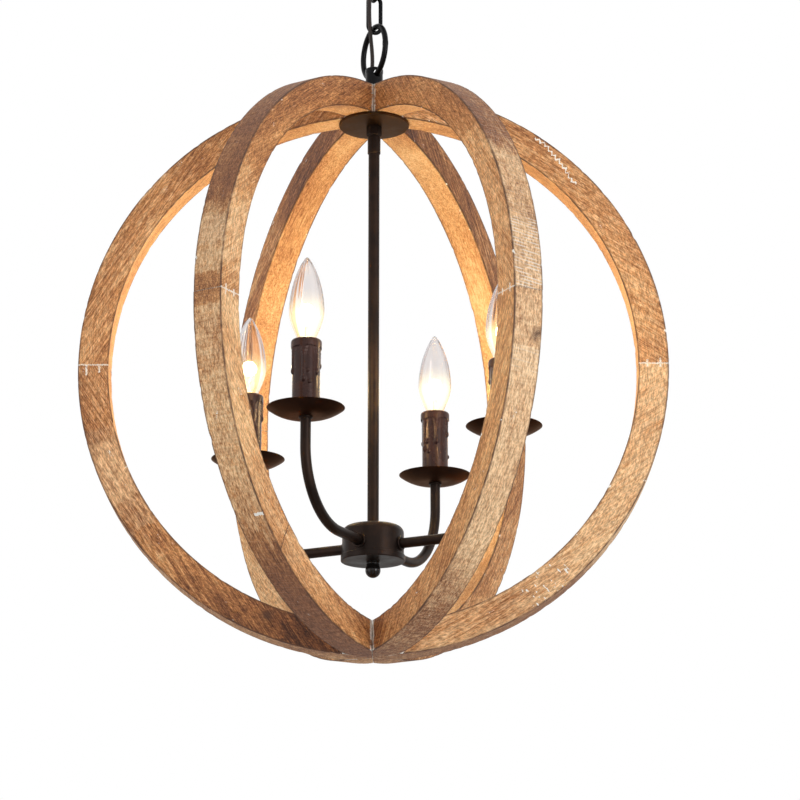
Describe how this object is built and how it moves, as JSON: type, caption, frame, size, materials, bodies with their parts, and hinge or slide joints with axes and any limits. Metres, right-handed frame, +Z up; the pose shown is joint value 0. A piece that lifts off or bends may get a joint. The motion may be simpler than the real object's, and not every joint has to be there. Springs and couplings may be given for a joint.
{
  "type": "orb chandelier",
  "caption": "Wooden orb chandelier: mitred hoops round a candle-style light cluster, hung by a ring and chain links from a ceiling canopy.",
  "frame": {"origin": "middle of the mounting bar's top face, on the ceiling, on the stem's axis", "axes": "+Z up through the ceiling along the stem; +X along the mounting bar, to the right in the picture"},
  "size_m": [0.546, 0.4862, 0.7382],
  "materials": {
    "weathered_wood": "weathered saw-marked wood with a pale wash",
    "dowel_wood": "plain dowel",
    "bronze": "oil-rubbed bronze, satin",
    "black_iron": "black paint, satin",
    "black_gloss": "gloss black",
    "zinc_steel": "zinc plate",
    "green_screw": "green ground screw",
    "cord": "brown lamp cord",
    "lead_wire": "lamp leads",
    "dark_wax": "cast resin wax coat, satin",
    "phenolic": "phenolic",
    "brass_shell": "screw shell",
    "clear_glass": "clear"
  },
  "bodies": {
    "ceiling_mount": {"mounting_bar": "zinc_steel", "ground_screw": "green_screw", "ceiling_nipple": "zinc_steel", "canopy": "bronze", "screw_collar": "bronze", "canopy_loop": "bronze", "lead_top": "cord"},
    "link_upper": {"chain_link_upper": "black_iron", "lead_upper": "cord"},
    "link_lower": {"chain_link_lower": "black_iron", "lead_lower": "cord"},
    "ring": {"hanging_ring": "black_iron", "lead_ring": "cord"},
    "fixture": {"barrel_loop": "black_iron", "top_nipple": "zinc_steel", "top_plate": "bronze", "plate_nut": "bronze", "coupling": "bronze", "stem_tube": "bronze", "stem_leads": "lead_wire", "hub_body": "bronze", "hub_plate": "bronze", "finial": "black_gloss", "arm_collars": "bronze", "arm_nuts": "zinc_steel", "socket_bodies": "phenolic", "socket_shells": "brass_shell", "joint_dowels": "dowel_wood", "arm_1": "bronze", "drip_pan_1": "bronze", "candle_sleeve_1": "dark_wax", "arm_2": "bronze", "drip_pan_2": "bronze", "candle_sleeve_2": "dark_wax", "arm_3": "bronze", "drip_pan_3": "bronze", "candle_sleeve_3": "dark_wax", "arm_4": "bronze", "drip_pan_4": "bronze", "candle_sleeve_4": "dark_wax", "arc_upper_1": "weathered_wood", "arc_lower_1": "weathered_wood", "arc_upper_2": "weathered_wood", "arc_lower_2": "weathered_wood", "arc_upper_3": "weathered_wood", "arc_lower_3": "weathered_wood", "arc_upper_4": "weathered_wood", "arc_lower_4": "weathered_wood", "arc_upper_5": "weathered_wood", "arc_lower_5": "weathered_wood", "arc_upper_6": "weathered_wood", "arc_lower_6": "weathered_wood"},
    "bulb_1": {"bulb_base_1": "brass_shell", "bulb_glass_1": "clear_glass"},
    "bulb_2": {"bulb_base_2": "brass_shell", "bulb_glass_2": "clear_glass"},
    "bulb_3": {"bulb_base_3": "brass_shell", "bulb_glass_3": "clear_glass"},
    "bulb_4": {"bulb_base_4": "brass_shell", "bulb_glass_4": "clear_glass"}
  },
  "joints": [
    {"name": "upper_link_swing", "type": "hinge", "parent": "ceiling_mount", "child": "link_upper", "pos_m": [0, 0, -0.062], "axis": [0.8988, 0.4384, 0], "range_deg": [-18, 18], "deforming": ["lead_top"]},
    {"name": "lower_link_swing", "type": "hinge", "parent": "link_upper", "child": "link_lower", "pos_m": [0, 0, -0.0952], "axis": [0.4384, -0.8988, 0], "range_deg": [-18, 18], "deforming": ["lead_upper"]},
    {"name": "ring_swing", "type": "hinge", "parent": "link_lower", "child": "ring", "pos_m": [0, 0, -0.1289], "axis": [0.8988, 0.4384, 0], "range_deg": [-18, 18], "deforming": ["lead_lower"]},
    {"name": "orb_swing", "type": "hinge", "parent": "ring", "child": "fixture", "pos_m": [0, 0, -0.1739], "axis": [0.4384, -0.8988, 0], "range_deg": [-18, 18], "deforming": ["lead_ring"]},
    {"name": "bulb_1_lift", "type": "slide", "parent": "fixture", "child": "bulb_1", "axis": [0, 0, 1], "range_m": [0, 0.032]},
    {"name": "bulb_2_lift", "type": "slide", "parent": "fixture", "child": "bulb_2", "axis": [0, 0, 1], "range_m": [0, 0.032]},
    {"name": "bulb_3_lift", "type": "slide", "parent": "fixture", "child": "bulb_3", "axis": [0, 0, 1], "range_m": [0, 0.032]},
    {"name": "bulb_4_lift", "type": "slide", "parent": "fixture", "child": "bulb_4", "axis": [0, 0, 1], "range_m": [0, 0.032]}
  ]
}
